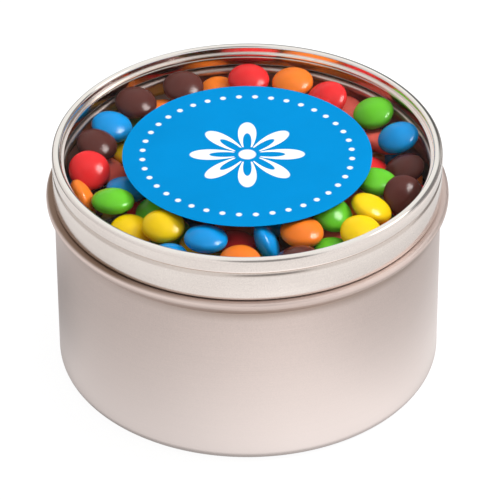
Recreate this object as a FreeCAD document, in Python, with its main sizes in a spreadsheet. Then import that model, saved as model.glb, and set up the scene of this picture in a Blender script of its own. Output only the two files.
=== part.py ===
import FreeCAD, Part
import Sketcher
import itertools
import math
import os
import random
from types import SimpleNamespace

# Window lid tin: a drawn can, a slip lid with a clear window, and the sugar-coated sweets inside.
# Millimetres, +Z up, origin at the middle of the underside, front towards -Y.

SIZES = [
    ("sheet", 0.3, "thickness of the tinplate"),
    ("can_radius", 58.75, "outside of the can's wall"),
    ("shoulder_height", 60.0, "underside of the can to the shoulder above the bead"),
    ("base_rounding", 3.5, "corner between base and wall"),
    ("foot_width", 7.25, "ring of the base that the can stands on"),
    ("panel_rise", 1.5, "height of the raised panel"),
    ("panel_slope", 1.5, "width of the step round the panel"),
    ("panel_rounding", 0.8, "bends of that step"),
    ("bead_reach", 2.35, "bead beyond the can's wall"),
    ("bead_height", 4.8, "bead, from its foot to the shoulder"),
    ("bead_land", 1.8, "upright part of the bead below the shoulder"),
    ("bead_rounding", 0.9, "lower bends of the bead"),
    ("bead_crest", 1.2, "bend between the bead and the shoulder"),
    ("neck_step", 0.9, "neck inside the can's wall"),
    ("neck_height", 6.8, "shoulder to the top of the rolled edge"),
    ("neck_rounding", 0.4, "bend at the foot of the neck"),
    ("curl_width", 2.5, "rolled edge of the can"),
    ("curl_tail", 1.5, "end of the rolled edge, under the roll"),
    ("lid_clearance", 0.25, "lid's hem round the neck"),
    ("hem_gap", 0.3, "space in the folded hem of the skirt"),
    ("hem_height", 2.5, "folded hem of the skirt"),
    ("skirt_gap", 0.3, "skirt above the can's shoulder"),
    ("seat_gap", 0.3, "retaining ring above the can's rolled edge"),
    ("rim_width", 2.6, "rolled rim of the lid"),
    ("lip_drop", 2.6, "top of the rim to the lip over the window"),
    ("lip_reach", 1.0, "lip over the window, inside the rim"),
    ("lip_rounding", 0.4, "bend between rim and lip"),
    ("groove_drop", 1.35, "middle of the crimped groove below the window"),
    ("groove_depth", 0.55, "crimped groove in the skirt"),
    ("groove_width", 1.5, "crimped groove in the skirt"),
    ("groove_rounding", 0.3, "bend in the bottom of the groove"),
    ("groove_edge", 0.2, "inside bend at the groove's lower edge"),
    ("rim_underside", 1.2, "bend of the rim down into the groove"),
    ("ring_height", 3.7, "retaining ring under the window"),
    ("ring_wall", 0.6, "thickness of the retaining ring"),
    ("ring_rounding", 0.9, "bends of the retaining ring"),
    ("fit_clearance", 0.25, "window and retaining ring inside the skirt"),
    ("window_thickness", 0.8, "clear window"),
    ("label_radius", 37.75, "round sticker on the window"),
    ("label_thickness", 0.12, "round sticker on the window"),
    ("sweet_diameter", 13.2, "sugar-coated sweet, across"),
    ("sweet_thickness", 6.8, "sugar-coated sweet, through its middle"),
    ("sweet_edge", 1.9, "rounded edge of a sweet"),
    ("sweet_gap", 0.12, "least space between sweets"),
    ("sweet_shuffle", 1.2, "step by which a sweet moves aside for its neighbours"),
    ("bed_gap", 0.3, "bed of sweets inside the can"),
    ("loose_depth", 22.0, "sweets modelled one by one, below the window"),
]

COLOURS = ("red", "orange", "yellow", "green", "blue", "brown", "salmon")

# The sweets that show beside the label, those nearest the window first: colour, bearing about
# the tin's axis, distance of the middle inside the retaining ring in sweet widths, lean of the
# sweet from level, and the bearing its upper face leans towards. Bearings run from +X to +Y, in
# degrees.
SHOWN_SWEETS = [
    ("green", -156, 0.93, 6, 90),
    ("yellow", -129, 1.26, 9, -90),
    ("blue", -108, 1.26, 4, 40),
    ("orange", -65, 1.39, 5, -60),
    ("yellow", -30, 1.03, 24, 10),
    ("brown", -17, 0.48, 45, -70),
    ("green", -11, 1.11, 8, 20),
    ("blue", 19, 0.38, 18, 200),
    ("green", 37, 0.38, 16, 215),
    ("orange", 73, 0.39, 8, 250),
    ("red", 60, 0.83, 24, 230),
    ("red", 88, 0.41, 10, 270),
    ("brown", 114, 0.38, 14, 290),
    ("brown", 134, 0.41, 12, 310),
    ("red", 180, 0.55, 32, -70),
    ("orange", -167, 0.40, 70, 14),
    ("orange", -96, 1.03, 10, -90),
    ("brown", 166, 0.66, 16, -30),
    ("salmon", 54, 0.38, 18, 230),
    ("blue", -172, 1.30, 10, 60),
    ("blue", 152, 0.41, 14, -30),
    ("brown", 6, 0.45, 18, 190),
    ("salmon", 30, 0.61, 22, 30),
    ("orange", 124, 0.61, 16, 120),
    ("salmon", 48, 0.76, 16, -140),
    ("orange", 99, 0.45, 20, 270),
    ("orange", -13, 1.61, 20, 160),
    ("blue", -81, 1.50, 66, 10),
    ("green", -42, 1.62, 24, -40),
    ("yellow", 149, 1.11, 14, -20),
    ("yellow", -141, 0.88, 16, -60),
    ("blue", -120, 0.71, 10, -120),
    ("yellow", -43, 0.80, 14, -60),
    ("green", -56, 0.80, 10, -40),
    ("red", -94, 1.82, 14, 60),
    ("green", -145, 1.62, 16, -150),
    ("red", 11, 1.17, 20, 40),
    ("salmon", 163, 1.11, 24, 10),
    ("red", -4, 0.36, 30, 180),
    ("salmon", -50, 1.30, 20, -70),
    ("orange", 144, 0.42, 20, -40),
    ("yellow", -164, 0.50, 20, 20),
    ("red", -107, 0.50, 12, 30),
    ("brown", -72, 0.50, 16, 140),
    ("green", -89, 0.48, 12, 60),
    ("orange", -31, 0.45, 18, 150),
    ("red", -133, 0.50, 14, 70),
]

# The sweets that the label and the upper ones hide lie in rings round the tin's axis, this many
# sweet widths apart, and lean by up to this many degrees. Colours and leans come from one draw.
RING_STEP = 1.06
HIDDEN_LEAN = 24
DRAW_SEED = 7

# A roll is bent to nearly half its width, so that a short flat stays between its two bends. The
# lid's rim is rounder outside than inside, and a folded hem is bent to part of the space in it.
ROLL_SHARE = 0.48
RIM_OUTSIDE_SHARE = 0.62
RIM_INSIDE_SHARE = 0.34
HEM_SHARE = 0.35

# Fineness of the heap: trial shares between two sweets, steps and halvings of a sweet's rise,
# and steps aside that a sweet may take each way.
OVERLAP_SHARES = [step / 10 for step in range(1, 10)]
RISE_STEPS = 14
RISE_HALVINGS = 6
STEPS_ASIDE = (-2, -1, 0, 1, 2)


UP = FreeCAD.Vector(0, 0, 1)


class Length:
    """A length, as its value now and as the expression that ties it to the sheet."""

    def __init__(self, value, expression):
        self.value = value
        self.expression = expression

    def __add__(self, other):
        return Length(self.value + other.value, f"({self.expression} + {other.expression})")

    def __sub__(self, other):
        return Length(self.value - other.value, f"({self.expression} - {other.expression})")

    def __mul__(self, factor):
        return Length(self.value * factor, f"({self.expression} * {factor})")


def size_sheet(doc):
    """Write the driving sizes to the document's sheet and give them as bound lengths."""
    sheet = doc.addObject("Spreadsheet::Sheet", "Sizes")
    lengths = {}
    for row, (name, value, meaning) in enumerate(SIZES, start=1):
        sheet.set(f"A{row}", meaning)
        sheet.set(f"B{row}", str(value))
        sheet.setAlias(f"B{row}", name)
    doc.recompute()
    for name, _value, _meaning in SIZES:
        lengths[name] = Length(float(sheet.get(name)), f"Sizes.{name}")
    return SimpleNamespace(**lengths)


def bind(owner, path, length):
    """Tie a property or a sketch constraint to the sheet."""
    owner.setExpression(path, length.expression)


def constrain(sketch, kind, *places, length=None):
    """Add one constraint to a sketch, with its size tied to the sheet."""
    if length is None:
        sketch.addConstraint(Sketcher.Constraint(kind, *places))
        return
    index = sketch.addConstraint(Sketcher.Constraint(kind, *places, length.value))
    bind(sketch, f"Constraints[{index}]", length)


def rounded_path(corners):
    """Straight runs and bends of a path through corners, each (radius, height, bend)."""
    points = [FreeCAD.Vector(radius.value, height.value, 0) for radius, height, _bend in corners]
    runs = []
    bends = []
    start = points[0]
    for before, corner, after, bend in zip(points, points[1:], points[2:], corners[1:]):
        incoming = (before - corner).normalize()
        outgoing = (after - corner).normalize()
        half_angle = incoming.getAngle(outgoing) / 2
        reach = bend[2].value / math.tan(half_angle)
        inward = (incoming + outgoing).normalize()
        middle = corner + inward * (bend[2].value / math.sin(half_angle) - bend[2].value)
        runs.append((start, corner + incoming * reach))
        bends.append((corner + incoming * reach, middle, corner + outgoing * reach))
        start = corner + outgoing * reach
    runs.append((start, points[-1]))
    return runs, bends


def section_sketch(doc, name, corners):
    """Sketch the outer face of a sheet-metal section, in the plane through the tin's axis."""
    sketch = doc.addObject("Sketcher::SketchObject", name)
    upright = FreeCAD.Rotation(FreeCAD.Vector(1, 0, 0), 90)
    sketch.Placement = FreeCAD.Placement(FreeCAD.Vector(0, 0, 0), upright)
    runs, bends = rounded_path(corners)
    lines = [sketch.addGeometry(Part.LineSegment(*run), False) for run in runs]
    for step, bend in enumerate(bends):
        radius, height, rounding = corners[step + 1]
        arc = sketch.addGeometry(Part.Arc(*bend), False)
        spot = FreeCAD.Vector(radius.value, height.value, 0)
        corner = sketch.addGeometry(Part.Point(spot), True)
        constrain(sketch, "DistanceX", -1, 1, corner, 1, length=radius)
        if abs(height.value) > 1e-9:
            constrain(sketch, "DistanceY", -1, 1, corner, 1, length=height)
        else:
            constrain(sketch, "PointOnObject", corner, 1, -1)
        for line in (lines[step], lines[step + 1]):
            constrain(sketch, "PointOnObject", corner, 1, line)
        turns_left = (bend[1] - bend[0]).cross(bend[2] - bend[1]).z > 0
        first_end, last_end = (1, 2) if turns_left else (2, 1)
        constrain(sketch, "Tangent", lines[step], 2, arc, first_end)
        constrain(sketch, "Tangent", arc, last_end, lines[step + 1], 1)
        constrain(sketch, "Radius", arc, length=rounding)
    path_ends = ((lines[0], 1, corners[0]), (lines[-1], 2, corners[-1]))
    for line, end, (radius, height, _bend) in path_ends:
        if radius.value > 0:
            constrain(sketch, "DistanceX", -1, 1, line, end, length=radius)
        else:
            constrain(sketch, "PointOnObject", line, end, -2)
        constrain(sketch, "DistanceY", -1, 1, line, end, length=height)
    return sketch


def spun_sheet(doc, label, corners, thickness):
    """A piece of tinplate, spun round the tin's axis. Its outer face lies right of the path."""
    sketch = section_sketch(doc, f"{label}_section", corners)
    plate = doc.addObject("Part::Offset2D", f"{label}_plate")
    plate.Source = sketch
    plate.Mode = "Skin"
    plate.Fill = True
    bind(plate, "Value", thickness)
    piece = doc.addObject("Part::Revolution", label)
    piece.Source = plate
    piece.Axis = FreeCAD.Vector(0, 0, 1)
    piece.Base = FreeCAD.Vector(0, 0, 0)
    piece.Angle = 360
    piece.Solid = True
    piece.Label = label
    return piece


def disc(doc, label, radius, underside, thickness):
    """A flat round piece, centred on the tin's axis."""
    piece = doc.addObject("Part::Cylinder", label)
    piece.Label = label
    bind(piece, "Radius", radius)
    bind(piece, "Height", thickness)
    bind(piece, "Placement.Base.z", underside)
    return piece


def level_vector(bearing):
    """Unit vector in the level plane, at a bearing in degrees from +X towards +Y."""
    return FreeCAD.Vector(math.cos(math.radians(bearing)), math.sin(math.radians(bearing)), 0)


def leaning(lean, bearing):
    """Unit vector that leans from upright towards a bearing, both in degrees."""
    tilt = math.radians(lean)
    return level_vector(bearing) * math.sin(tilt) + UP * math.cos(tilt)


def plane_of(body, role):
    """One of a body's own origin planes."""
    return next(plane for plane in body.Origin.OriginFeatures if plane.Role == role)


def levels(size):
    """Radii and heights that more than one piece takes its place from."""
    place = SimpleNamespace()
    place.axis = Length(0.0, "0 mm")
    place.ground = Length(0.0, "0 mm")
    place.neck_radius = size.can_radius - size.neck_step
    place.curl_radius = place.neck_radius - size.curl_width
    place.can_top = size.shoulder_height + size.neck_height
    place.hem_radius = place.neck_radius + size.lid_clearance
    place.lid_radius = place.hem_radius + size.sheet * 2 + size.hem_gap
    place.skirt_inside = place.lid_radius - size.sheet
    place.rim_inside = place.lid_radius - size.rim_width
    place.skirt_bottom = size.shoulder_height + size.skirt_gap
    place.ring_bottom = place.can_top + size.seat_gap
    place.window_bottom = place.ring_bottom + size.ring_height
    place.window_top = place.window_bottom + size.window_thickness
    place.lip_top = place.window_top + size.sheet
    place.lid_top = place.lip_top + size.lip_drop
    place.inner_floor = size.panel_rise + size.sheet
    return place


def can_body(doc, size, place):
    """Drawn can: recessed base, straight wall, bead, neck and an inward rolled edge."""
    bead_radius = size.can_radius + size.bead_reach
    bead_foot = size.shoulder_height - size.bead_height
    bead_low = size.shoulder_height - size.bead_land
    curl_bend = size.curl_width * ROLL_SHARE
    curl_low = place.can_top - size.curl_width
    panel_edge = size.can_radius - size.foot_width
    corners = [
        (place.axis, size.panel_rise, None),
        (panel_edge - size.panel_slope, size.panel_rise, size.panel_rounding),
        (panel_edge, place.ground, size.panel_rounding),
        (size.can_radius, place.ground, size.base_rounding),
        (size.can_radius, bead_foot, size.bead_rounding),
        (bead_radius, bead_low, size.bead_rounding),
        (bead_radius, size.shoulder_height, size.bead_crest),
        (place.neck_radius, size.shoulder_height, size.neck_rounding),
        (place.neck_radius, place.can_top, curl_bend),
        (place.curl_radius, place.can_top, curl_bend),
        (place.curl_radius, curl_low, curl_bend),
        (place.curl_radius + size.curl_tail, curl_low, None),
    ]
    return spun_sheet(doc, "can_body", corners, size.sheet)


def lid_frame(doc, size, place):
    """Lid ring: folded hem, skirt, crimped groove, rolled rim and the lip over the window."""
    hem_bend = size.sheet + size.hem_gap * HEM_SHARE
    outer_bend = size.rim_width * RIM_OUTSIDE_SHARE
    inner_bend = size.rim_width * RIM_INSIDE_SHARE
    groove_bend = size.sheet + size.groove_edge
    groove_middle = place.window_bottom - size.groove_drop
    half_groove = size.groove_width * 0.5
    groove_radius = place.lid_radius - size.groove_depth
    corners = [
        (place.hem_radius, place.skirt_bottom + size.hem_height, None),
        (place.hem_radius, place.skirt_bottom, hem_bend),
        (place.lid_radius, place.skirt_bottom, hem_bend),
        (place.lid_radius, groove_middle - half_groove, groove_bend),
        (groove_radius, groove_middle, size.groove_rounding),
        (place.lid_radius, groove_middle + half_groove, size.rim_underside),
        (place.lid_radius, place.lid_top, outer_bend),
        (place.rim_inside, place.lid_top, inner_bend),
        (place.rim_inside, place.lip_top, size.lip_rounding),
        (place.rim_inside - size.lip_reach, place.lip_top, None),
    ]
    return spun_sheet(doc, "lid_frame", corners, size.sheet)


def window_retaining_ring(doc, size, place):
    """Channel-shaped ring that holds the window up, open outwards for the crimped groove."""
    flange_radius = place.skirt_inside - size.fit_clearance
    corners = [
        (flange_radius, place.window_bottom, None),
        (place.rim_inside, place.window_bottom, size.ring_rounding),
        (place.rim_inside, place.ring_bottom, size.ring_rounding),
        (flange_radius, place.ring_bottom, None),
    ]
    return spun_sheet(doc, "window_retaining_ring", corners, size.ring_wall)


def window(doc, size, place):
    """Clear disc between the lip and the retaining ring."""
    radius = place.skirt_inside - size.fit_clearance
    return disc(doc, "window", radius, place.window_bottom, size.window_thickness)


def label(doc, size, place):
    """Round sticker on top of the window."""
    return disc(doc, "label", size.label_radius, place.window_top, size.label_thickness)


def sweet_bed(doc, size, place):
    """The sweets below the loose ones, as one bed that fills the can's lower part."""
    body = doc.addObject("PartDesign::Body", "sweet_bed")
    body.Label = "sweet_bed"
    underside = place.inner_floor + size.bed_gap
    top = place.window_bottom - size.loose_depth
    outline = body.newObject("Sketcher::SketchObject", "sweet_bed_outline")
    outline.AttachmentSupport = (plane_of(body, "XY_Plane"), [""])
    outline.MapMode = "FlatFace"
    bind(outline, "AttachmentOffset.Base.z", underside)
    radius = size.can_radius - size.sheet - size.bed_gap
    circle = Part.Circle(FreeCAD.Vector(0, 0, 0), FreeCAD.Vector(0, 0, 1), radius.value)
    edge = outline.addGeometry(circle, False)
    constrain(outline, "Coincident", edge, 3, -1, 1)
    constrain(outline, "Radius", edge, length=radius)
    pad = body.newObject("PartDesign::Pad", "sweet_bed_pad")
    pad.Profile = outline
    bind(pad, "Length", top - underside)
    doc.recompute()
    lowest = min(range(len(pad.Shape.Edges)), key=lambda n: pad.Shape.Edges[n].CenterOfMass.z)
    rounding = body.newObject("PartDesign::Fillet", "sweet_bed_rounding")
    rounding.Base = (pad, [f"Edge{lowest + 1}"])
    bind(rounding, "Radius", size.base_rounding)
    body.Tip = rounding
    return body


def sweet_form(doc, size):
    """One sweet at the origin: two domes joined by a rounded edge."""
    body = doc.addObject("PartDesign::Body", "sweet_form")
    section = body.newObject("Sketcher::SketchObject", "sweet_section")
    section.AttachmentSupport = (plane_of(body, "XZ_Plane"), [""])
    section.MapMode = "FlatFace"
    half = size.sweet_thickness * 0.5
    edge_middle = size.sweet_diameter * 0.5 - size.sweet_edge
    rise = half.value - size.sweet_edge.value
    dome = (edge_middle.value ** 2 + half.value ** 2 - size.sweet_edge.value ** 2) / (2 * rise)
    tilt = math.atan2(dome - half.value, edge_middle.value)
    out_axis = FreeCAD.Vector(0, 0, 1)
    upper = Part.Circle(FreeCAD.Vector(0, half.value - dome, 0), out_axis, dome)
    lower = Part.Circle(FreeCAD.Vector(0, dome - half.value, 0), out_axis, dome)
    rim = Part.Circle(FreeCAD.Vector(edge_middle.value, 0, 0), out_axis, size.sweet_edge.value)
    upper = section.addGeometry(Part.ArcOfCircle(upper, tilt, math.pi / 2), False)
    lower = section.addGeometry(Part.ArcOfCircle(lower, -math.pi / 2, -tilt), False)
    rim = section.addGeometry(Part.ArcOfCircle(rim, -tilt, tilt), False)
    top = FreeCAD.Vector(0, half.value, 0)
    bottom = FreeCAD.Vector(0, -half.value, 0)
    middle = section.addGeometry(Part.LineSegment(top, bottom), False)
    constrain(section, "Tangent", rim, 2, upper, 1)
    constrain(section, "Tangent", lower, 2, rim, 1)
    constrain(section, "Coincident", upper, 2, middle, 1)
    constrain(section, "Coincident", middle, 2, lower, 1)
    constrain(section, "PointOnObject", upper, 3, -2)
    constrain(section, "PointOnObject", lower, 3, -2)
    constrain(section, "PointOnObject", middle, 1, -2)
    constrain(section, "PointOnObject", middle, 2, -2)
    constrain(section, "PointOnObject", rim, 3, -1)
    constrain(section, "DistanceX", -1, 1, rim, 3, length=edge_middle)
    constrain(section, "Radius", rim, length=size.sweet_edge)
    constrain(section, "DistanceY", -1, 1, middle, 1, length=half)
    constrain(section, "DistanceY", middle, 2, -1, 1, length=half)
    turn = body.newObject("PartDesign::Revolution", "sweet_turn")
    turn.Profile = section
    turn.ReferenceAxis = (section, ["V_Axis"])
    turn.Angle = 360
    body.Tip = turn
    return body


class Heap:
    """Sweets that lie against the window and each other, placed one at a time from the top."""

    def __init__(self, size, place):
        gap = size.sweet_gap.value
        self.broad = (size.sweet_diameter.value + gap) / 2
        self.thin = (size.sweet_thickness.value + gap) / 2
        self.flatness = self.broad ** 2 - self.thin ** 2
        self.ceiling = place.window_bottom.value - gap / 2
        self.floor = place.window_bottom.value - size.loose_depth.value + gap / 2
        self.wall = place.rim_inside.value - gap
        self.curl_half = size.curl_width.value / 2 + gap
        self.curl_middle = place.curl_radius.value + size.curl_width.value / 2
        self.curl_height = place.can_top.value - size.curl_width.value / 2
        self.shuffle = size.sweet_shuffle.value
        self.sweets = []

    def reach(self, normal, direction):
        """How far a sweet with this normal reaches from its middle, along a unit direction."""
        return math.sqrt(self.broad ** 2 - self.flatness * normal.dot(direction) ** 2)

    def overlap(self, offset, normal, other):
        """Whether two sweets share space, from the widest gap between them over all directions."""
        square = offset.dot(offset)
        if square >= 4 * self.broad ** 2:
            return False
        if square <= 4 * self.thin ** 2:
            return True
        along = normal.dot(offset)
        across = other.dot(offset)
        cross = self.flatness * normal.dot(other)
        for share in OVERLAP_SHARES:
            first = self.broad ** 2 / share - self.flatness
            last = self.broad ** 2 / (1 - share) - self.flatness
            pull = last * along ** 2 + 2 * cross * along * across + first * across ** 2
            apart = square + self.flatness * pull / (first * last - cross ** 2)
            if share * (1 - share) * apart >= self.broad ** 2:
                return False
        return True

    def meets_curl(self, spot, normal, outward):
        """Whether a sweet touches the can's rolled edge."""
        offset = outward * self.curl_middle + FreeCAD.Vector(0, 0, self.curl_height) - spot
        through = normal.dot(offset)
        broad = self.broad + self.curl_half
        thin = self.thin + self.curl_half
        return (through / thin) ** 2 + (offset.dot(offset) - through ** 2) / broad ** 2 < 1

    def risen(self, spot, normal):
        """Height at which a sweet that rises at this spot meets the first of the others."""
        top = spot.z
        for _colour, other_spot, other_normal in self.sweets:
            offset = other_spot - spot
            if offset.x ** 2 + offset.y ** 2 >= 4 * self.broad ** 2:
                continue
            clear = other_spot.z - 2 * self.broad
            trial = clear
            while trial < top:
                offset.z = other_spot.z - trial
                if self.overlap(offset, normal, other_normal):
                    break
                clear = trial
                trial += self.thin / RISE_STEPS
            else:
                continue
            for _halving in range(RISE_HALVINGS):
                middle = (clear + trial) / 2
                offset.z = other_spot.z - middle
                if self.overlap(offset, normal, other_normal):
                    trial = middle
                else:
                    clear = middle
            top = min(top, clear)
        return top

    def spots_near(self, bearing, distance, normal):
        """Spots round a wanted one where a sweet clears the wall, each with its step aside."""
        wanted = level_vector(bearing) * distance
        radial = level_vector(bearing) * self.shuffle
        sideways = level_vector(bearing + 90) * self.shuffle
        for aside, outwards in itertools.product(STEPS_ASIDE, repeat=2):
            shift = sideways * aside + radial * outwards
            spot = wanted + shift
            outward = FreeCAD.Vector(spot.x, spot.y, 0)
            if outward.Length > 0:
                outward.normalize()
            if outward.dot(spot) + self.reach(normal, outward) <= self.wall:
                yield spot, outward, shift.Length

    def lift(self, colour, bearing, distance, lean, lean_bearing):
        """Place a sweet as high as it goes, at or near a spot, under the window or the others."""
        normal = leaning(lean, lean_bearing)
        best = None
        for spot, outward, shift in self.spots_near(bearing, distance, normal):
            height = self.reach(normal, UP)
            spot.z = self.ceiling - height
            spot.z = self.risen(spot, normal)
            if spot.z - height < self.floor or self.meets_curl(spot, normal, outward):
                continue
            merit = spot.z - shift / 2
            if best is None or merit > best[0]:
                best = (merit, spot)
        if best is not None:
            self.sweets.append((colour, best[1], normal))

    def lay(self, colour, bearing, distance, lean, lean_bearing):
        """Lay a sweet on the bed, at or near a spot, if there is room for it under the others."""
        normal = leaning(lean, lean_bearing)
        best = None
        for spot, _outward, shift in self.spots_near(bearing, distance, normal):
            spot.z = self.floor + self.reach(normal, UP)
            blocked = any(self.overlap(other - spot, normal, way) for _tint, other, way in self.sweets)
            if not blocked and (best is None or shift < best[0]):
                best = (shift, spot)
        if best is not None:
            self.sweets.append((colour, best[1], normal))


def ring_spots(reach, pitch):
    """Distances from the axis and bearings of spots about a pitch apart, out to a reach."""
    rings = max(1, round(reach / pitch))
    spots = [(0.0, 0.0)]
    for ring in range(1, rings + 1):
        distance = reach * ring / rings
        count = int(2 * math.pi * distance / pitch)
        spots += [(distance, 360 * (number + ring / 2) / count) for number in range(count)]
    return spots


def fill_heap(size, place):
    """The sweets that show, then those under the label, then those that lie on the bed."""
    heap = Heap(size, place)
    draw = random.Random(DRAW_SEED)
    width = size.sweet_diameter.value
    for colour, bearing, inset, lean, lean_bearing in SHOWN_SWEETS:
        heap.lift(colour, bearing, heap.wall - inset * width, lean, lean_bearing)
    for edge, put in ((size.label_radius.value, heap.lift), (heap.wall, heap.lay)):
        for distance, bearing in ring_spots(edge - heap.broad, width * RING_STEP):
            colour = draw.choice(COLOURS)
            lean = draw.uniform(0, HIDDEN_LEAN)
            lean_bearing = draw.uniform(0, 360)
            put(colour, bearing, distance, lean, lean_bearing)
    return heap.sweets


def sweet_groups(doc, size, place):
    """One node for each colour, with its sweets as separate solids."""
    form = sweet_form(doc, size)
    doc.recompute()
    sweets = fill_heap(size, place)
    groups = []
    for colour in COLOURS:
        solids = []
        for tint, spot, normal in sweets:
            if tint == colour:
                solid = form.Shape.copy()
                solid.Placement = FreeCAD.Placement(spot, FreeCAD.Rotation(UP, normal))
                solids.append(solid)
        group = doc.addObject("Part::Feature", f"{colour}_sweets")
        group.Label = f"{colour}_sweets"
        group.Shape = Part.makeCompound(solids)
        group.Placement = FreeCAD.Placement()
        groups.append(group)
    return groups


def check(doc, pieces):
    """Stop if any object failed or any piece has no sound solid."""
    for item in doc.Objects:
        if "Invalid" in item.State or "Error" in item.State:
            raise RuntimeError(f"{item.Label} failed: {item.State}")
    for piece in pieces:
        shape = piece.Shape
        if shape.isNull() or not shape.isValid() or not shape.Solids:
            raise RuntimeError(f"{piece.Label} has no sound solid")


def main():
    """Build every piece, check it and write it to its own file."""
    doc = FreeCAD.newDocument("window_lid_tin")
    size = size_sheet(doc)
    place = levels(size)
    makers = (can_body, lid_frame, window_retaining_ring, window, label, sweet_bed)
    pieces = [maker(doc, size, place) for maker in makers]
    pieces += sweet_groups(doc, size, place)
    doc.recompute()
    check(doc, pieces)
    os.makedirs("parts", exist_ok=True)
    for piece in pieces:
        piece.Shape.exportStep(f"parts/{piece.Label}.step")
        print(piece.Label, len(piece.Shape.Solids), "solids", round(piece.Shape.Volume, 1), "mm3")


main()
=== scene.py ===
import math
import random

import bmesh
import bpy
import numpy as np
from bpy.props import FloatProperty, FloatVectorProperty, IntProperty, PointerProperty
from mathutils import Matrix, Vector, noise


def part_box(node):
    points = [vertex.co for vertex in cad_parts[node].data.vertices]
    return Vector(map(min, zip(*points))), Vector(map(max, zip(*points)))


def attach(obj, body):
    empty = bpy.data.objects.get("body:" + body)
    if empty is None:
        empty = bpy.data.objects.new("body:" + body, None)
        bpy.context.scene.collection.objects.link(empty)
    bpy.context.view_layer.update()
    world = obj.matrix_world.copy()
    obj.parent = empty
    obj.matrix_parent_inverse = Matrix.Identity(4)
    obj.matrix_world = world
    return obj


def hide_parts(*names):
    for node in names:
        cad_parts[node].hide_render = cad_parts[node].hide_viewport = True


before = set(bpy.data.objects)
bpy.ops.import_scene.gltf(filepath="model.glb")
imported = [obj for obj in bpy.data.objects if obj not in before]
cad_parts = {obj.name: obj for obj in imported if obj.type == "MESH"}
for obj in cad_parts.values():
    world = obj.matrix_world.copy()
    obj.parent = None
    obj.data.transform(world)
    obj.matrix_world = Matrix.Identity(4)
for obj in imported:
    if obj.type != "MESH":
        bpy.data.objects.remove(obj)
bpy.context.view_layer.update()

bl_info = {
    "name": "Window Lid Tin",
    "version": (1, 0, 0),
    "blender": (4, 5, 0),
    "location": "3D View > Sidebar > Window Tin",
    "description": "Finishes a round window lid tin of sweets and sets it in a plain studio",
    "category": "Object",
}

LID_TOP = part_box("lid_frame")[1].z
LID_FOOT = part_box("lid_frame")[0].z
LABEL_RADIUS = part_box("label")[1].x
# Painted light: the can's wall is painted lighter and whiter towards its base, below this height.
LOWER_LIGHT_HEIGHT = 0.055
LOWER_LIGHT_SHARE = 0.8
LOWER_LIGHT_TO_WHITE = 0.32
LINE_SCALE = 30.0
MARK_SCALE = 38.0
WAVE_SCALE = 55.0
SPECKLE_SCALE = 2600.0
SHARP_EDGE = math.radians(40)
BEAD_FOOT = 0.0552
BEAD_CREST = 0.0597
GROOVE_DROP = 0.0054
# Warm dark tint of the painted shade in creases and gaps.
SHADE_TINT = (0.42, 0.34, 0.27)
SAME_PLACE = 1e-6
SWEET_HEAP = "sweet_heap"
SWEET_COLOURS = ("red", "orange", "yellow", "green", "blue", "brown", "salmon")


def paint(red, green, blue):
    """A colour as it is mixed on screen, 0 to 255, as the linear values that a shader takes."""
    shares = [level / 255 for level in (red, green, blue)]
    return tuple(s / 12.92 if s <= 0.04045 else ((s + 0.055) / 1.055) ** 2.4 for s in shares)


def colour_property(name, description, default):
    return FloatVectorProperty(
        name=name, description=description, subtype="COLOR", size=3, min=0, max=1, default=default
    )


def length_property(name, description, default):
    return FloatProperty(
        name=name, description=description, subtype="DISTANCE", unit="LENGTH", min=0, default=default
    )


def strength_property(name, description, default):
    return FloatProperty(name=name, description=description, min=0, default=default)


def power_property(name, description, default):
    return FloatProperty(name=name, description=description, unit="POWER", min=0, default=default)


def angle_property(name, description, default):
    return FloatProperty(name=name, description=description, unit="ROTATION", default=default)


def share_property(name, description, default):
    return FloatProperty(
        name=name, description=description, subtype="FACTOR", min=0, max=1, default=default
    )


class TinplateFinish(bpy.types.PropertyGroup):
    """Bare tinplate of the can, the lid and the ring under the window."""

    can_colour: colour_property("Can", "Tinplate of the can", paint(214, 197, 190))
    # Painted light: the lid's tinplate is a lighter copy of the can's, raised to stand in for the brighter
    # light on the lid.
    lid_colour: colour_property("Lid", "Tinplate of the lid", paint(250, 238, 231))
    ring_colour: colour_property("Ring", "Tinplate of the ring under the window", paint(214, 203, 195))
    can_roughness: share_property("Can roughness", "Satin of the can", 0.36)
    lid_roughness: share_property("Lid roughness", "Satin of the lid", 0.17)
    ring_roughness: share_property("Ring roughness", "Polish of the ring under the window", 0.20)
    grain_pitch: length_property("Grain pitch", "Spacing of the fine turned lines", 0.0004)
    grain_depth: length_property("Grain depth", "Depth of the fine turned lines", 0.0000015)
    planish_depth: length_property("Planish depth", "Depth of the slow waves in the sheet", 0.000018)


class SweetShells(bpy.types.PropertyGroup):
    """Hard sugar shells of the sweets."""

    red: colour_property("Red", "Red shells", paint(238, 42, 45))
    orange: colour_property("Orange", "Orange shells", paint(255, 131, 38))
    yellow: colour_property("Yellow", "Yellow shells", paint(255, 213, 0))
    green: colour_property("Green", "Green shells", paint(104, 204, 40))
    blue: colour_property("Blue", "Blue shells", paint(0, 150, 228))
    brown: colour_property("Brown", "Brown shells", paint(88, 42, 36))
    salmon: colour_property("Salmon", "Salmon shells", paint(250, 108, 94))
    roughness: share_property("Roughness", "Polish of the sugar", 0.20)
    unevenness: length_property("Unevenness", "Hollows in the sugar shell", 0.00010)
    spread: share_property("Spread", "Largest loss of size from sweet to sweet", 0.035)
    seed: IntProperty(name="Seed", description="Start of the draw of sizes", min=0, default=11)


class WindowPlastic(bpy.types.PropertyGroup):
    """Clear sheet in the lid."""

    tint: colour_property("Tint", "Light that the sheet lets through", (0.985, 0.985, 0.98))
    gleam: share_property("Gleam", "Share that the sheet mirrors when seen edge on", 0.24)
    roughness: share_property("Roughness", "Blur of what the sheet mirrors", 0.05)


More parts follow.
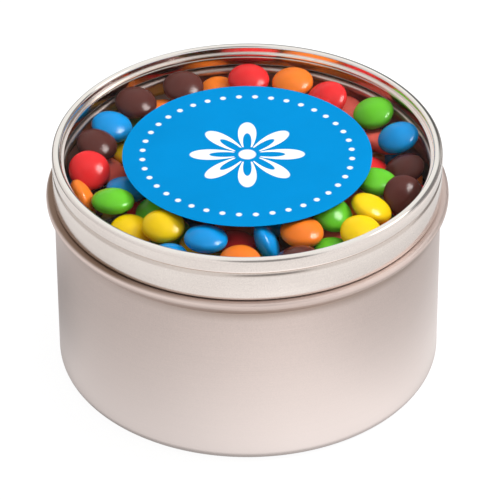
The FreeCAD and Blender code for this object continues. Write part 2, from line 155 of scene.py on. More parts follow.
class LabelPrint(bpy.types.PropertyGroup):
    """Round sticker on the window."""

    paper: colour_property("Ground", "Printed ground of the sticker", paint(2, 135, 201))
    ink: colour_property("Ornament", "Rosette and dots", paint(240, 244, 246))
    petals: IntProperty(name="Petals", description="Petals of the rosette", min=4, max=24, default=8)
    dots: IntProperty(name="Dots", description="Dots in the ring", min=8, max=72, default=40)
    rosette: share_property("Rosette", "Reach of the rosette, of the sticker's radius", 0.46)
    dot_ring: share_property("Dot ring", "Place of the ring of dots, of the sticker's radius", 0.84)
    dot_size: share_property("Dot size", "Radius of a dot, of the sticker's radius", 0.022)


class StudioStage(bpy.types.PropertyGroup):
    """Floor, light and camera."""

    floor_radius: length_property("Floor", "Radius of the floor", 4.0)
    floor_colour: colour_property("Floor colour", "Plain pale floor", (0.86, 0.86, 0.86))
    floor_white: strength_property("Background", "Floor as the camera sees it", 1.14)
    floor_glow: share_property("Floor glow", "Share of the floor that shows as the background", 0.8)
    floor_near: strength_property("Near floor", "Mirrored floor beside the tin", 1.28)
    floor_far: strength_property("Far floor", "Mirrored floor away from the tin", 0.99)
    left_fall: share_property("Left side", "What is left of the mirrored floor on the left", 0.58)
    right_fall: share_property("Right side", "What is left of the mirrored floor on the right", 0.45)
    ceiling: strength_property("Ceiling", "Mirrored sky all round", 0.85)
    sky: strength_property("Sky", "Strength of the light from all round", 0.36)
    top_power: power_property("Top", "Softbox above", 4.8)
    key_power: power_property("Key", "Softbox on the right", 9.0)
    fill_power: power_property("Fill", "Softbox in front", 2.0)
    gleam_power: power_property("Gleam", "Softbox that shows in the polish of the sweets", 16.0)
    elevation: angle_property("Elevation", "Camera above the level", 0.6208)
    roll: angle_property("Roll", "Turn of the camera about its view", -0.0048)
    distance: length_property("Distance", "Camera from the point it looks at", 1.18)
    lens: FloatProperty(name="Lens", description="Focal length", unit="CAMERA", min=1, default=276.5)
    aim: FloatVectorProperty(name="Aim", description="Point the camera looks at", subtype="TRANSLATION",
                             unit="LENGTH", size=3, default=(0.00069, 0.0, 0.03622))


class WindowTin(bpy.types.PropertyGroup):
    """Everything that can be changed about the tin's looks."""

    tinplate: PointerProperty(type=TinplateFinish)
    sweets: PointerProperty(type=SweetShells)
    window: PointerProperty(type=WindowPlastic)
    label: PointerProperty(type=LabelPrint)
    stage: PointerProperty(type=StudioStage)


class NodeWork:
    """Nodes of a material or of the sky under construction, each input set or linked."""

    def __init__(self, owner):
        owner.use_nodes = True
        self.owner = owner
        self.tree = owner.node_tree
        self.tree.nodes.clear()

    def add(self, kind, inputs=None, **settings):
        made = self.tree.nodes.new(kind)
        for name, value in settings.items():
            setattr(made, name, value)
        for name, value in (inputs or {}).items():
            if isinstance(value, bpy.types.NodeSocket):
                self.tree.links.new(value, made.inputs[name])
            else:
                made.inputs[name].default_value = value
        return made

    def calc(self, operation, *values):
        """The result of a sum on numbers and sockets."""
        return self.add("ShaderNodeMath", dict(enumerate(values)), operation=operation).outputs[0]

    def span(self, value, low, high, start=0.0, end=1.0, ease="LINEAR"):
        """A value carried from one range to another, and held at its ends."""
        inputs = {"Value": value, "From Min": low, "From Max": high, "To Min": start, "To Max": end}
        return self.add("ShaderNodeMapRange", inputs, interpolation_type=ease).outputs[0]

    def place(self):
        """The piece's own coordinates, in metres."""
        return self.add("ShaderNodeTexCoord").outputs["Object"]

    def noise(self, vector, scale, detail=3.0, roughness=0.55):
        """Soft chance values, about 0.3 to 0.7."""
        inputs = {"Vector": vector, "Scale": scale, "Detail": detail, "Roughness": roughness}
        return self.add("ShaderNodeTexNoise", inputs).outputs["Fac"]

    def blend(self, share, first, second):
        """A colour between two others."""
        inputs = {"Factor": share, 6: first, 7: second}
        return self.add("ShaderNodeMix", inputs, data_type="RGBA").outputs[2]

    def mix(self, share, first, second):
        """A number between two others."""
        return self.add("ShaderNodeMix", {"Factor": share, 2: first, 3: second}).outputs[0]

    def bump(self, height, distance, normal=None):
        """The surface's normal, tilted by a height in metres."""
        inputs = {"Height": height, "Distance": distance, "Strength": 1.0}
        if normal is not None:
            inputs["Normal"] = normal
        return self.add("ShaderNodeBump", inputs).outputs["Normal"]

    def seen(self):
        """Two values: 1 where the camera looks straight, and 1 by way of a mirror or a clear sheet."""
        path = self.add("ShaderNodeLightPath").outputs
        mirrored = self.calc("MAXIMUM", path["Is Glossy Ray"], path["Is Transmission Ray"])
        return path["Is Camera Ray"], mirrored

    def surface(self, shader, output="ShaderNodeOutputMaterial"):
        """Make a shader the owner's surface."""
        self.add(output, {"Surface": shader.outputs[0]})
        return self.owner


def new_finish(name):
    """An empty material to work on."""
    return NodeWork(bpy.data.materials.new(name))


def shaded(colour, level):
    """A colour made lighter or darker, with full cover."""
    return tuple(min(1.0, part * level) for part in colour) + (1.0,)


def tinplate(name, colour, roughness, finish, wear_and_sheen_band, painted_shade=None, wear_and_sheen_level=1.12, polish=0.12):
    """Satin tinplate with fine turned lines, slow waves, hand marks, rubbing wear, a painted highlight,
    painted shade in creases and painted light near the foot.

    Where the sheet shows rubbing wear or the painted highlight, its colour is multiplied by the
    wear-and-sheen level and its roughness falls by polish.
    """
    plate = new_finish(name)
    place = plate.place()
    parts = plate.add("ShaderNodeSeparateXYZ", {"Vector": place}).outputs
    level = plate.add("ShaderNodeCombineXYZ", {"X": parts["X"], "Y": parts["Y"]}).outputs[0]
    radius = plate.add("ShaderNodeVectorMath", {0: level}, operation="LENGTH").outputs["Value"]
    lathe = plate.calc("ADD", radius, parts["Z"])
    rings = plate.calc("DIVIDE", lathe, finish.grain_pitch)
    turns = plate.add("ShaderNodeVectorMath", {0: level, "Scale": LINE_SCALE}, operation="SCALE").outputs[0]
    turns = plate.add("ShaderNodeSeparateXYZ", {"Vector": turns}).outputs
    along = {"X": turns["X"], "Y": turns["Y"], "Z": rings}
    lines = plate.add("ShaderNodeCombineXYZ", along).outputs[0]
    grain = plate.noise(lines, 1.0, detail=2.0)
    marks = plate.noise(place, MARK_SCALE, detail=5.0)
    fine = plate.noise(place, SPECKLE_SCALE, detail=3.0)
    # Painted light: the sheet is lighter and whiter towards its foot.
    lower_light = plate.span(parts["Z"], 0.0, LOWER_LIGHT_HEIGHT, LOWER_LIGHT_SHARE, 0.0)
    wear_and_sheen = wear_and_sheen_band(plate, parts["Z"])
    tone = plate.calc("MULTIPLY", marks, 0.35)
    tone = plate.calc("ADD", tone, plate.calc("MULTIPLY", grain, 0.15))
    tone = plate.calc("ADD", tone, plate.calc("MULTIPLY", fine, 0.5))
    base = plate.blend(plate.span(tone, 0.35, 0.65), shaded(colour, 0.90), shaded(colour, 1.07))
    pale = [part + (1 - part) * LOWER_LIGHT_TO_WHITE for part in colour]
    base = plate.blend(lower_light, base, shaded(pale, 1.0))
    # Rubbing wear on the lid's rim, and a painted highlight on the can's bead crest.
    base = plate.blend(wear_and_sheen, base, shaded(colour, wear_and_sheen_level))
    # Painted shade in creases and gaps.
    if painted_shade is not None:
        shade_colour = [part * share for part, share in zip(colour, SHADE_TINT)]
        base = plate.blend(painted_shade(plate, parts), base, shaded(shade_colour, 1.0))
    uneven = plate.calc("ADD", marks, fine)
    rough = plate.span(uneven, 0.7, 1.3, roughness - 0.05, roughness + 0.06)
    rough = plate.calc("SUBTRACT", rough, plate.calc("MULTIPLY", wear_and_sheen, polish))
    waves = plate.bump(plate.noise(place, WAVE_SCALE, detail=1.0), finish.planish_depth)
    normal = plate.bump(grain, finish.grain_depth, normal=waves)
    shader = plate.add(
        "ShaderNodeBsdfPrincipled",
        {"Base Color": base, "Roughness": rough, "Normal": normal, "Metallic": 1.0},
    )
    return plate.surface(shader)


def dress(node, material):
    """Give a CAD node its finish."""
    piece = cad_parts[node]
    piece.data.materials.clear()
    piece.data.materials.append(material)
    return piece


def seam_of(node):
    """Radius and height along the section of a spun CAD node, where its faces meet at +X.

    A level panel across the axis has no such seam, so an open section goes on to the axis at both ends.
    """
    mesh = bmesh.new()
    mesh.from_mesh(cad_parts[node].data)
    bmesh.ops.remove_doubles(mesh, verts=mesh.verts, dist=SAME_PLACE)
    level = {vert for vert in mesh.verts if abs(vert.co.y) < SAME_PLACE}
    on_seam = {vert for vert in level if vert.co.x > -SAME_PLACE}
    beside = {vert: [] for vert in on_seam}
    for edge in mesh.edges:
        first, last = edge.verts
        if first in on_seam and last in on_seam:
            beside[first].append(last)
            beside[last].append(first)
    ends = [vert for vert in on_seam if len(beside[vert]) == 1]
    here = min(ends or on_seam, key=lambda vert: (vert.co.x, vert.co.z))
    path = [here]
    known = {here}
    while True:
        ahead = [vert for vert in beside[here] if vert not in known]
        if not ahead:
            break
        here = ahead[0]
        known.add(here)
        path.append(here)
    points = [(vert.co.x, vert.co.z) for vert in path]
    if len(points) < 8 or len(beside[path[-1]]) != len(beside[path[0]]):
        raise RuntimeError(f"{node} has no plain seam")
    closed = not ends
    if not closed:
        points = [(0.0, points[0][1])] + points + [(0.0, points[-1][1])]
    mesh.free()
    return points, closed


def spun(context, node, body, material, segments=320):
    """An even lathe of a spun CAD node, smooth but for its sharp edges, in the node's place."""
    outline, closed = seam_of(node)
    points = []
    rows = []
    for radius, height in outline:
        count = 1 if radius < SAME_PLACE else segments
        rows.append(range(len(points), len(points) + count))
        for number in range(count):
            bearing = math.tau * number / segments
            points.append((radius * math.cos(bearing), radius * math.sin(bearing), height))
    faces = []
    following = rows[1:] + rows[:1] if closed else rows[1:]
    for lower, upper in zip(rows, following):
        for number in range(segments):
            after = (number + 1) % segments
            corners = [
                lower[number % len(lower)],
                lower[after % len(lower)],
                upper[after % len(upper)],
                upper[number % len(upper)],
            ]
            faces.append(list(dict.fromkeys(corners)))
    data = bpy.data.meshes.new(f"{node}_lathe")
    data.from_pydata(points, [], faces)
    mesh = bmesh.new()
    mesh.from_mesh(data)
    bmesh.ops.recalc_face_normals(mesh, faces=mesh.faces)
    mesh.to_mesh(data)
    mesh.free()
    data.polygons.foreach_set("use_smooth", [True] * len(data.polygons))
    data.set_sharp_from_angle(angle=SHARP_EDGE)
    data.materials.append(material)
    piece = bpy.data.objects.new(f"{node}_lathe", data)
    context.scene.collection.objects.link(piece)
    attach(piece, body)
    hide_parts(node)
    return piece


class WINDOW_TIN_OT_can(bpy.types.Operator):
    """Finish the drawn can"""

    bl_idname = "window_tin.can"
    bl_label = "Can"

    def execute(self, context):
        finish = context.scene.window_tin.tinplate

        def wear_and_sheen_band(plate, height):
            """The bead's crest, where the lid's edge comes down; a highlight is painted there."""
            below = plate.span(height, BEAD_CREST - 0.0016, BEAD_CREST - 0.0003, ease="SMOOTHSTEP")
            above = plate.span(height, BEAD_CREST + 0.0002, BEAD_CREST + 0.0008, 1.0, 0.0)
            return plate.calc("MULTIPLY", below, above)

        def shade_under_bead(plate, height, across):
            """Painted shade under the bead, less of it towards the left."""
            low = BEAD_FOOT - 0.0035
            below = plate.span(height, low, BEAD_FOOT + 0.0010, 0.0, 0.68, "SMOOTHSTEP")
            above = plate.span(height, BEAD_FOOT + 0.0012, BEAD_FOOT + 0.0044, 1.0, 0.0)
            side = plate.span(across, -0.045, -0.005, 0.25, 1.0)
            return plate.calc("MULTIPLY", side, plate.calc("MULTIPLY", below, above))

        def shade_at_lid_edge(plate, height, across):
            """Painted shade in the gap at the lid's edge, all of it on the left."""
            aside = plate.calc("ABSOLUTE", plate.calc("SUBTRACT", height, LID_FOOT))
            band = plate.span(aside, 0.0004, 0.0009, 1.0, 0.0)
            side = plate.span(across, -0.04, 0.0, 1.0, 0.0)
            return plate.calc("MULTIPLY", band, side)

        def painted_shade(plate, parts):
            """Painted shade under the bead and above it."""
            under = shade_under_bead(plate, parts["Z"], parts["X"])
            over = shade_at_lid_edge(plate, parts["Z"], parts["X"])
            return plate.calc("MAXIMUM", under, over)

        plate = tinplate(
            "can_tinplate",
            finish.can_colour,
            finish.can_roughness,
            finish,
            wear_and_sheen_band,
            painted_shade,
            # The bead's crest is painted lighter here, as a highlight.
            wear_and_sheen_level=1.42,
            polish=-0.12,
        )
        spun(context, "can_body", "can", plate)
        return {"FINISHED"}


class WINDOW_TIN_OT_lid(bpy.types.Operator):
    """Finish the lid's frame and the ring under its window"""

    bl_idname = "window_tin.lid"
    bl_label = "Lid"

    def execute(self, context):
        finish = context.scene.window_tin.tinplate

        def wear_and_sheen_band(plate, height):
            """The top of the rolled rim."""
            return plate.span(height, LID_TOP - 0.0006, LID_TOP)

        def painted_shade(plate, parts):
            """Painted shade in the crimped groove."""
            aside = plate.calc("SUBTRACT", parts["Z"], LID_TOP - GROOVE_DROP)
            aside = plate.calc("ABSOLUTE", aside)
            return plate.span(aside, 0.0002, 0.0010, 0.3, 0.0, "SMOOTHSTEP")

        plate = tinplate("lid_tinplate", finish.lid_colour, finish.lid_roughness, finish, wear_and_sheen_band, painted_shade)
        spun(context, "lid_frame", "lid", plate)
        ring = tinplate("ring_tinplate", finish.ring_colour, finish.ring_roughness, finish, wear_and_sheen_band)
        spun(context, "window_retaining_ring", "lid", ring)
        return {"FINISHED"}


class WINDOW_TIN_OT_window(bpy.types.Operator):
    """Finish the clear window"""

    bl_idname = "window_tin.window"
    bl_label = "Window"

    def execute(self, context):
        look = context.scene.window_tin.window
        sheet = new_finish("window_plastic")
        place = sheet.place()
        scuffs = sheet.noise(place, 260.0, detail=6.0, roughness=0.7)
        rough = sheet.span(scuffs, 0.35, 0.75, look.roughness, look.roughness + 0.10)
        ripple = sheet.bump(sheet.noise(place, 42.0, detail=1.0), 0.00004)
        clear = sheet.add("ShaderNodeBsdfTransparent", {"Color": shaded(look.tint, 1.0)})
        mirror = sheet.add("ShaderNodeBsdfGlossy", {"Roughness": rough, "Normal": ripple})
        mirror.inputs["Color"].default_value = (1, 1, 1, 1)
        slant = sheet.add("ShaderNodeLayerWeight", {"Blend": 0.5}).outputs["Facing"]
        share = sheet.calc("MULTIPLY_ADD", sheet.calc("POWER", slant, 5.0), look.gleam, 0.001)
        both = sheet.add("ShaderNodeMixShader", {0: share, 1: clear.outputs[0], 2: mirror.outputs[0]})
        dress("window", sheet.surface(both))
        return {"FINISHED"}


class WINDOW_TIN_OT_label(bpy.types.Operator):
    """Finish the round sticker"""

    bl_idname = "window_tin.label"
    bl_label = "Label"

    # The print's soft edge, as a share of the sticker's radius.
    soft = 0.006

    # The hollow in each petal, the blue core and the white eye, as shares of the rosette's reach.
    hollow_share = 0.66
    core_share = 0.24
    eye_share = 0.15

    # How blunt the petals and their hollows are: the lower, the blunter.
    petal_power = 0.7
    hollow_power = 1.6

    def disc(self, paper, radius, reach):
        """1 within a reach of the middle, 0 beyond it."""
        return paper.span(radius, reach + self.soft, reach - self.soft)

    def petals(self, paper, radius, wave, power, reach):
        """1 within petals that reach out from the middle, 0 beyond them."""
        edge = paper.calc("MULTIPLY", paper.calc("POWER", wave, power), reach)
        return paper.span(paper.calc("SUBTRACT", edge, radius), -self.soft, self.soft)

    def length(self, paper, first, second):
        """The length of a step by its two sides."""
        squares = [paper.calc("POWER", paper.calc("ABSOLUTE", side), 2.0) for side in (first, second)]
        return paper.calc("SQRT", paper.calc("ADD", *squares))

    def execute(self, context):
        look = context.scene.window_tin.label
        paper = new_finish("label_print")
        place = paper.place()
        parts = paper.add("ShaderNodeSeparateXYZ", {"Vector": place}).outputs
        across = paper.calc("DIVIDE", parts["X"], LABEL_RADIUS)
        along = paper.calc("DIVIDE", parts["Y"], LABEL_RADIUS)
        radius = self.length(paper, across, along)
        angle = paper.calc("ARCTAN2", along, across)
        wave = paper.calc("COSINE", paper.calc("MULTIPLY", angle, look.petals / 2))
        wave = paper.calc("ABSOLUTE", wave)
        petal = self.petals(paper, radius, wave, self.petal_power, look.rosette)
        hollow_reach = look.rosette * self.hollow_share
        hollow = self.petals(paper, radius, wave, self.hollow_power, hollow_reach)
        core = self.disc(paper, radius, look.rosette * self.core_share)
        eye = self.disc(paper, radius, look.rosette * self.eye_share)
        rosette = paper.calc("SUBTRACT", petal, hollow)
        rosette = paper.calc("MAXIMUM", paper.calc("SUBTRACT", rosette, core), eye)
        turn = paper.calc("MULTIPLY", angle, look.dots / math.tau)
        aside = paper.calc("SUBTRACT", paper.calc("FRACT", turn), 0.5)
        aside = paper.calc("MULTIPLY", aside, math.tau * look.dot_ring / look.dots)
        out = paper.calc("SUBTRACT", radius, look.dot_ring)
        near = self.length(paper, aside, out)
        dots = self.disc(paper, near, look.dot_size)
        ornament = paper.calc("MAXIMUM", rosette, dots)
        fibre = paper.noise(place, 2400.0, detail=4.0)
        cloud = paper.noise(place, 60.0, detail=3.0)
        cloud = paper.span(cloud, 0.3, 0.7)
        ground = paper.blend(cloud, shaded(look.paper, 0.96), shaded(look.paper, 1.03))
        colour = paper.blend(paper.calc("MAXIMUM", ornament, 0.0), ground, shaded(look.ink, 1.0))
        rough = paper.span(fibre, 0.3, 0.7, 0.40, 0.52)
        normal = paper.bump(fibre, 0.000006)
        shader = paper.add(
            "ShaderNodeBsdfPrincipled",
            {"Base Color": colour, "Roughness": rough, "Normal": normal, "Specular IOR Level": 0.02},
        )
        dress("label", paper.surface(shader))
        return {"FINISHED"}


def sugar_shell(name, colour, roughness):
    """Polished sugar shell, uneven in tone from sweet to sweet and over each sweet."""
    shell = new_finish(name)
    place = shell.place()
    chance = shell.add("ShaderNodeNewGeometry").outputs["Random Per Island"]
    patches = shell.noise(place, 330.0, detail=3.0)
    specks = shell.noise(place, 3400.0, detail=2.0)
    level = shell.span(chance, 0.0, 1.0, 0.90, 1.02)
    level = shell.calc("ADD", level, shell.span(patches, 0.3, 0.7, -0.05, 0.05))
    level = shell.calc("ADD", level, shell.span(specks, 0.3, 0.7, -0.025, 0.025))
    sugar = {"Value": level, "Color": shaded(colour, 1.0)}
    tone = shell.add("ShaderNodeHueSaturation", sugar).outputs[0]
    rough = shell.span(patches, 0.3, 0.7, roughness - 0.05, roughness + 0.06)
    normal = shell.bump(shell.noise(place, 1500.0, detail=2.0), 0.000005)
    shader = shell.add(
        "ShaderNodeBsdfPrincipled",
        {"Base Color": tone, "Roughness": rough, "Normal": normal, "Specular IOR Level": 0.20},
    )
    return shell.surface(shader)


def sweets_of(node):
    """Middle, axis, half width and half thickness of each sweet in a CAD node."""
    mesh = bmesh.new()
    mesh.from_mesh(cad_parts[node].data)
    bmesh.ops.remove_doubles(mesh, verts=mesh.verts, dist=SAME_PLACE)
    bmesh.ops.triangulate(mesh, faces=mesh.faces)
    known = set()
    found = []
    for start in mesh.faces:
        if start in known:
            continue
        known.add(start)
        group = [start]
        for face in group:
            beside = [other for edge in face.edges for other in edge.link_faces]
            for other in beside:
                if other not in known:
                    known.add(other)
                    group.append(other)
        middles = np.array([face.calc_center_median() for face in group])
        areas = np.array([face.calc_area() for face in group])
        middle = (middles * areas[:, None]).sum(0) / areas.sum()
        offsets = middles - middle
        spread = (offsets * areas[:, None]).T @ offsets
        axis = np.linalg.eigh(spread)[1][:, 0]
        axis = axis if axis[2] > 0 else -axis
        points = np.array([corner.co for face in group for corner in face.verts]) - middle
        heights = points @ axis
        widths = np.linalg.norm(points - np.outer(heights, axis), axis=1)
        half_width = float(widths.max())
        half_thickness = float(np.abs(heights).max())
        found.append((Vector(middle), Vector(axis), half_width, half_thickness))
    mesh.free()
    return sorted(found, key=lambda sweet: tuple(round(part, 5) for part in sweet[0]))


def lens_outline(half_width, half_thickness, edge_share, steps):
    """Radius and height along a sweet's section, from the top to the bottom."""
    edge = half_thickness * edge_share
    middle = half_width - edge
    rise = half_thickness - edge
    dome = (middle ** 2 + half_thickness ** 2 - edge ** 2) / (2 * rise)
    tilt = math.asin(middle / (dome - edge))
    upper = [tilt * step / steps for step in range(steps + 1)]
    points = [(dome * math.sin(turn), half_thickness - dome + dome * math.cos(turn)) for turn in upper]
    span = math.pi - 2 * tilt
    for step in range(1, steps):
        turn = tilt + span * step / steps
        points.append((middle + edge * math.sin(turn), edge * math.cos(turn)))
    return points + [(radius, -height) for radius, height in reversed(points[: steps + 1])]


class WINDOW_TIN_OT_sweets(bpy.types.Operator):
    """Make the sugar shells of the loose sweets, one piece for each colour"""

    bl_idname = "window_tin.sweets"
    bl_label = "Sweets"

    segments = 36
    steps = 8
    edge_share = 0.56
    hollow_scale = 320

    def shell(self, sweet, look, draw, points, faces):
        """One sweet, no larger than its solid, with a slightly uneven shell."""
        middle, axis, half_width, half_thickness = sweet
        stretch = [1 - draw.uniform(0, look.spread) for _side in range(3)]
        start = Vector([draw.uniform(-9, 9) for _side in range(3)])
        turn = Vector((0, 0, 1)).rotation_difference(axis).to_matrix()
        turn = turn @ Matrix.Rotation(draw.uniform(0, math.tau), 3, "Z")
        outline = lens_outline(half_width, half_thickness, self.edge_share, self.steps)
        rows = []
        for radius, height in outline:
            count = 1 if radius < SAME_PLACE else self.segments
            rows.append(range(len(points), len(points) + count))
            for number in range(count):
                bearing = math.tau * number / count
                spot = Vector((radius * math.cos(bearing), radius * math.sin(bearing), height))
                dip = 0.5 + 0.5 * noise.noise(spot * self.hollow_scale + start)
                spot *= 1 - look.unevenness * dip / max(spot.length, SAME_PLACE)
                spot = Vector([part * size for part, size in zip(spot, stretch)])
                points.append(middle + turn @ spot)
        for upper, lower in zip(rows, rows[1:]):
            for number in range(self.segments):
                after = (number + 1) % self.segments
                if len(upper) == 1:
                    faces.append((upper[0], lower[number], lower[after]))
                elif len(lower) == 1:
                    faces.append((upper[after], upper[number], lower[0]))
                else:
                    faces.append((upper[after], upper[number], lower[number], lower[after]))

    def execute(self, context):
        look = context.scene.window_tin.sweets
        draw = random.Random(look.seed)
        heap = bpy.data.collections.new(SWEET_HEAP)
        context.scene.collection.children.link(heap)
        for colour in SWEET_COLOURS:
            points = []
            faces = []
            for sweet in sweets_of(f"{colour}_sweets"):
                self.shell(sweet, look, draw, points, faces)
            mesh = bpy.data.meshes.new(f"{colour}_sweet_shells")
            mesh.from_pydata(points, [], faces)
            mesh.polygons.foreach_set("use_smooth", [True] * len(mesh.polygons))
            if mesh.validate():
                raise RuntimeError(f"the {colour} shells have unsound faces")
            sugar = sugar_shell(f"{colour}_sugar", getattr(look, colour), look.roughness)
            mesh.materials.append(sugar)
            piece = bpy.data.objects.new(f"{colour}_sweet_shells", mesh)
            heap.objects.link(piece)
            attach(piece, "can")
            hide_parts(f"{colour}_sweets")
        return {"FINISHED"}


class WINDOW_TIN_OT_bed(bpy.types.Operator):
    """Finish the bed of sweets below the loose ones"""

    bl_idname = "window_tin.bed"
    bl_label = "Bed of sweets"

    def execute(self, context):
        look = context.scene.window_tin.sweets
        bed = new_finish("bed_sugar")
        place = bed.place()
        cells = bed.add("ShaderNodeTexVoronoi", {"Vector": place, "Scale": 80.0, "Randomness": 0.9})
        chance = bed.add("ShaderNodeSeparateColor", {"Color": cells.outputs["Color"]}).outputs[0]
        ramp = bed.add("ShaderNodeValToRGB", {"Fac": chance})
        ramp.color_ramp.interpolation = "CONSTANT"
        while len(ramp.color_ramp.elements) < len(SWEET_COLOURS):
            ramp.color_ramp.elements.new(0.5)
        for number, colour in enumerate(SWEET_COLOURS):
            ramp.color_ramp.elements[number].position = number / len(SWEET_COLOURS)
            # Painted shade: the bed's sweets are darker copies of the loose sweets' colours, and the gaps
            # between them are painted near black.
            ramp.color_ramp.elements[number].color = shaded(getattr(look, colour), 0.8)
        depth = bed.span(cells.outputs["Distance"], 0.25, 0.62)
        colour = bed.blend(depth, ramp.outputs["Color"], (0.01, 0.006, 0.005, 1))
        normal = bed.bump(bed.calc("SUBTRACT", 1.0, cells.outputs["Distance"]), 0.004)
        rough = bed.span(bed.noise(place, 330.0), 0.3, 0.7, 0.22, 0.34)
        shader = bed.add(
            "ShaderNodeBsdfPrincipled",
            {"Base Color": colour, "Roughness": rough, "Normal": normal, "Specular IOR Level": 0.3},
        )
        dress("sweet_bed", bed.surface(shader))
        return {"FINISHED"}


class WINDOW_TIN_OT_stage(bpy.types.Operator):
    """Set the tin on a pale floor, in soft light, before the camera"""

    bl_idname = "window_tin.stage"
    bl_label = "Stage"

    # Patches of the mirrored sky: direction of the middle, the nearness to it at which each begins
    # and is full, and its brightness.
    sky_patches = (
        ((0.18, -0.66, 0.73), 0.89, 0.97, 0.28),
        ((0.78, 0.52, 0.35), 0.90, 0.97, 0.22),
        ((0.72, 0.17, 0.67), 0.975, 0.99, 2.2),
        ((0.28, 0.94, 0.19), 0.92, 0.98, 0.10),
    )

    # The mirrored sky on the left: where it is darkest, where it is full again, and what is left of it.
    left_sky = (-0.95, -0.5, 0.8)

    # Where each tone of the mirrored floor begins and ends, in metres from the tin's middle.
    pool_reach = (0.06, 0.15)
    far_reach = (0.11, 0.16)
    close_reach = (0.088, 0.104)
    contact_reach = (0.0595, 0.0620)
    left_reach = (-0.10, 0.02)
    right_reach = (0.05, 0.11)
    beside_reach = (-0.07, -0.03)
    edge_reach = (-0.02, 0.022)
    behind_reach = (0.13, 0.17)

    # What is left of the mirrored floor where painted shade lies on it: far out on the left and on
    # the right, behind the tin, under its base, and close by on the left.
    far_left = 0.94
    far_right = 0.85
    behind_level = 0.12
    contact_level = 0.45
    edge_level = 0.40

    # Softboxes: name, place, width and the property that holds the power.
    softboxes = (
        ("top_softbox", (0.2, 0.1, 1.1), 0.8, "top_power"),
        ("key_softbox", (0.77, 0.18, 0.72), 0.42, "key_power"),
        ("fill_softbox", (-0.7, -0.9, 0.9), 0.8, "fill_power"),
    )
    gleam_spot = (0.70, -0.05, 0.78)
    gleam_size = 0.42

    # The floor lies this far below the tin's base.
    floor_drop = 0.00005

    def mirrored_floor(self, ground, look):
        """Brightness of the floor where the tin mirrors it: a painted pool of light beside the tin, and
        painted shadow under its base, behind it and on its sides.
        """
        place = ground.place()
        parts = ground.add("ShaderNodeSeparateXYZ", {"Vector": place}).outputs
        away = ground.add("ShaderNodeVectorMath", {0: place}, operation="LENGTH").outputs["Value"]
        painted_pool = ground.span(away, *self.pool_reach, look.floor_near, look.floor_far, "SMOOTHSTEP")
        far = ground.span(away, *self.far_reach)
        left = ground.span(parts["X"], *self.left_reach, look.left_fall, 1.0)
        left = ground.mix(far, left, self.far_left)
        edge = ground.span(parts["Y"], *self.edge_reach, 1.0, self.edge_level)
        beside = ground.span(parts["X"], *self.beside_reach, 1.0, 0.0)
        beside = ground.calc("MULTIPLY", beside, ground.span(away, *self.close_reach, 1.0, 0.0))
        edge = ground.mix(beside, 1.0, edge)
        right = ground.span(parts["X"], *self.right_reach, 1.0, look.right_fall)
        right = ground.mix(far, right, self.far_right)
        painted_contact_shadow = ground.span(away, *self.contact_reach, self.contact_level, 1.0)
        behind = ground.span(parts["Y"], *self.behind_reach, 1.0, self.behind_level)
        level = painted_pool
        for tone in (left, edge, right, painted_contact_shadow, behind):
            level = ground.calc("MULTIPLY", level, tone)
        return level

    def floor(self, context, look):
        """Round floor that shows as the white background and keeps the tin's shadow."""
        mesh = bmesh.new()
        bmesh.ops.create_circle(mesh, cap_ends=True, segments=96, radius=look.floor_radius)
        data = bpy.data.meshes.new("floor")
        mesh.to_mesh(data)
        mesh.free()
        floor = bpy.data.objects.new("floor", data)
        floor.location.z = -self.floor_drop
        context.scene.collection.objects.link(floor)
        ground = new_finish("floor_paper")
        straight, mirrored = ground.seen()
        level = ground.mix(straight, self.mirrored_floor(ground, look), look.floor_white)
        paper = ground.add("ShaderNodeBsdfDiffuse", {"Color": shaded(look.floor_colour, 1.0)})
        glow = ground.add("ShaderNodeEmission", {"Color": (1, 1, 1, 1), "Strength": level})
        share = ground.calc("MAXIMUM", straight, mirrored)
        share = ground.calc("MULTIPLY", share, look.floor_glow)
        both = ground.add("ShaderNodeMixShader", {0: share, 1: paper.outputs[0], 2: glow.outputs[0]})
        data.materials.append(ground.surface(both))

    def sky(self, context, look):
        """Even light from all round, and a white background."""
        world = bpy.data.worlds.new("studio")
        context.scene.world = world
        sky = NodeWork(world)
        straight, mirrored = sky.seen()
        way = sky.add("ShaderNodeTexCoord").outputs["Generated"]
        parts = sky.add("ShaderNodeSeparateXYZ", {"Vector": way}).outputs
        dome = look.ceiling
        for middle, edge, core, shine in self.sky_patches:
            near = sky.add("ShaderNodeVectorMath", {0: way, 1: middle}, operation="DOT_PRODUCT")
            share = sky.span(near.outputs["Value"], edge, core, ease="SMOOTHSTEP")
            dome = sky.mix(share, dome, shine)
        side = sky.span(parts["X"], *self.left_sky, 1.0)
        glossy = sky.calc("MULTIPLY", dome, side)
        level = sky.mix(mirrored, look.sky, glossy)
        level = sky.mix(straight, level, 1.0)
        light = sky.add("ShaderNodeBackground", {"Color": (1, 1, 1, 1), "Strength": level})
        sky.surface(light, "ShaderNodeOutputWorld")

    def softbox(self, context, name, spot, size, power):
        """A square lamp that faces the tin, and doesn't show in its polish."""
        data = bpy.data.lights.new(name, "AREA")
        data.shape = "SQUARE"
        data.size = size
        data.energy = power
        lamp = bpy.data.objects.new(name, data)
        lamp.location = spot
        lamp.visible_glossy = False
        lamp.rotation_euler = (-Vector(spot)).to_track_quat("-Z", "Y").to_euler()
        context.scene.collection.objects.link(lamp)
        return lamp

    def gleam(self, context, look):
        """A softbox that shows in the polish of the sweets alone."""
        lamp = self.softbox(context, "gleam_softbox", self.gleam_spot, self.gleam_size, look.gleam_power)
        lamp.visible_glossy = True
        lamp.visible_diffuse = False
        lamp.light_linking.receiver_collection = bpy.data.collections[SWEET_HEAP]

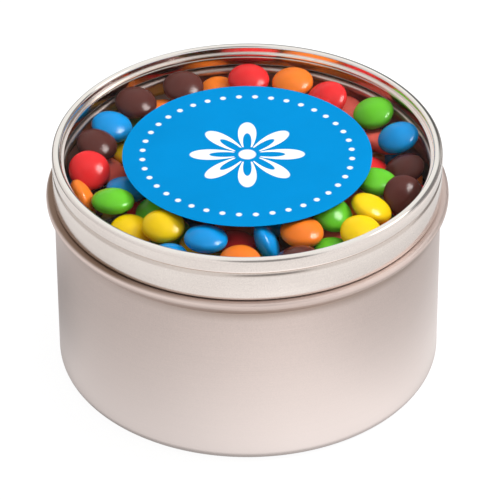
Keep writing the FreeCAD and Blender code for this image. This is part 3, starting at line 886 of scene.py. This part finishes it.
    def camera(self, context, look):
        """Camera at the photograph's angle, for a square picture."""
        data = bpy.data.cameras.new("camera")
        data.sensor_width = 36.0
        data.lens = look.lens
        data.clip_start = 0.05
        data.clip_end = 50.0
        camera = bpy.data.objects.new("camera", data)
        rise = math.sin(look.elevation)
        level = math.cos(look.elevation)
        back = Vector((0, -level, rise))
        up = Vector((0, rise, level))
        across = Vector((1, 0, 0))
        right = across * math.cos(look.roll) + up * math.sin(look.roll)
        top = up * math.cos(look.roll) - across * math.sin(look.roll)
        pose = Matrix((right, top, back)).transposed().to_4x4()
        pose.translation = Vector(look.aim) + back * look.distance
        camera.matrix_world = pose
        context.scene.collection.objects.link(camera)
        context.scene.camera = camera

    def execute(self, context):
        look = context.scene.window_tin.stage
        context.scene.view_settings.view_transform = "Standard"
        self.floor(context, look)
        self.sky(context, look)
        for name, spot, size, power in self.softboxes:
            self.softbox(context, name, spot, size, getattr(look, power))
        self.gleam(context, look)
        self.camera(context, look)
        return {"FINISHED"}


OPERATORS = (
    WINDOW_TIN_OT_can,
    WINDOW_TIN_OT_lid,
    WINDOW_TIN_OT_window,
    WINDOW_TIN_OT_label,
    WINDOW_TIN_OT_sweets,
    WINDOW_TIN_OT_bed,
    WINDOW_TIN_OT_stage,
)


class WINDOW_TIN_PT_panel(bpy.types.Panel):
    """Steps that finish the tin, in order"""

    bl_idname = "WINDOW_TIN_PT_panel"
    bl_label = "Window Tin"
    bl_space_type = "VIEW_3D"
    bl_region_type = "UI"
    bl_category = "Window Tin"

    def draw(self, context):
        for operator in OPERATORS:
            self.layout.operator(operator.bl_idname)


GROUPS = (TinplateFinish, SweetShells, WindowPlastic, LabelPrint, StudioStage, WindowTin)
CLASSES = GROUPS + OPERATORS + (WINDOW_TIN_PT_panel,)


def register():
    for kind in CLASSES:
        bpy.utils.register_class(kind)
    bpy.types.Scene.window_tin = PointerProperty(type=WindowTin)


def unregister():
    del bpy.types.Scene.window_tin
    for kind in reversed(CLASSES):
        bpy.utils.unregister_class(kind)


def main():
    register()
    bpy.ops.window_tin.can()
    bpy.ops.window_tin.lid()
    bpy.ops.window_tin.window()
    bpy.ops.window_tin.label()
    bpy.ops.window_tin.sweets()
    bpy.ops.window_tin.bed()
    bpy.ops.window_tin.stage()


if __name__ == "__main__":
    main()
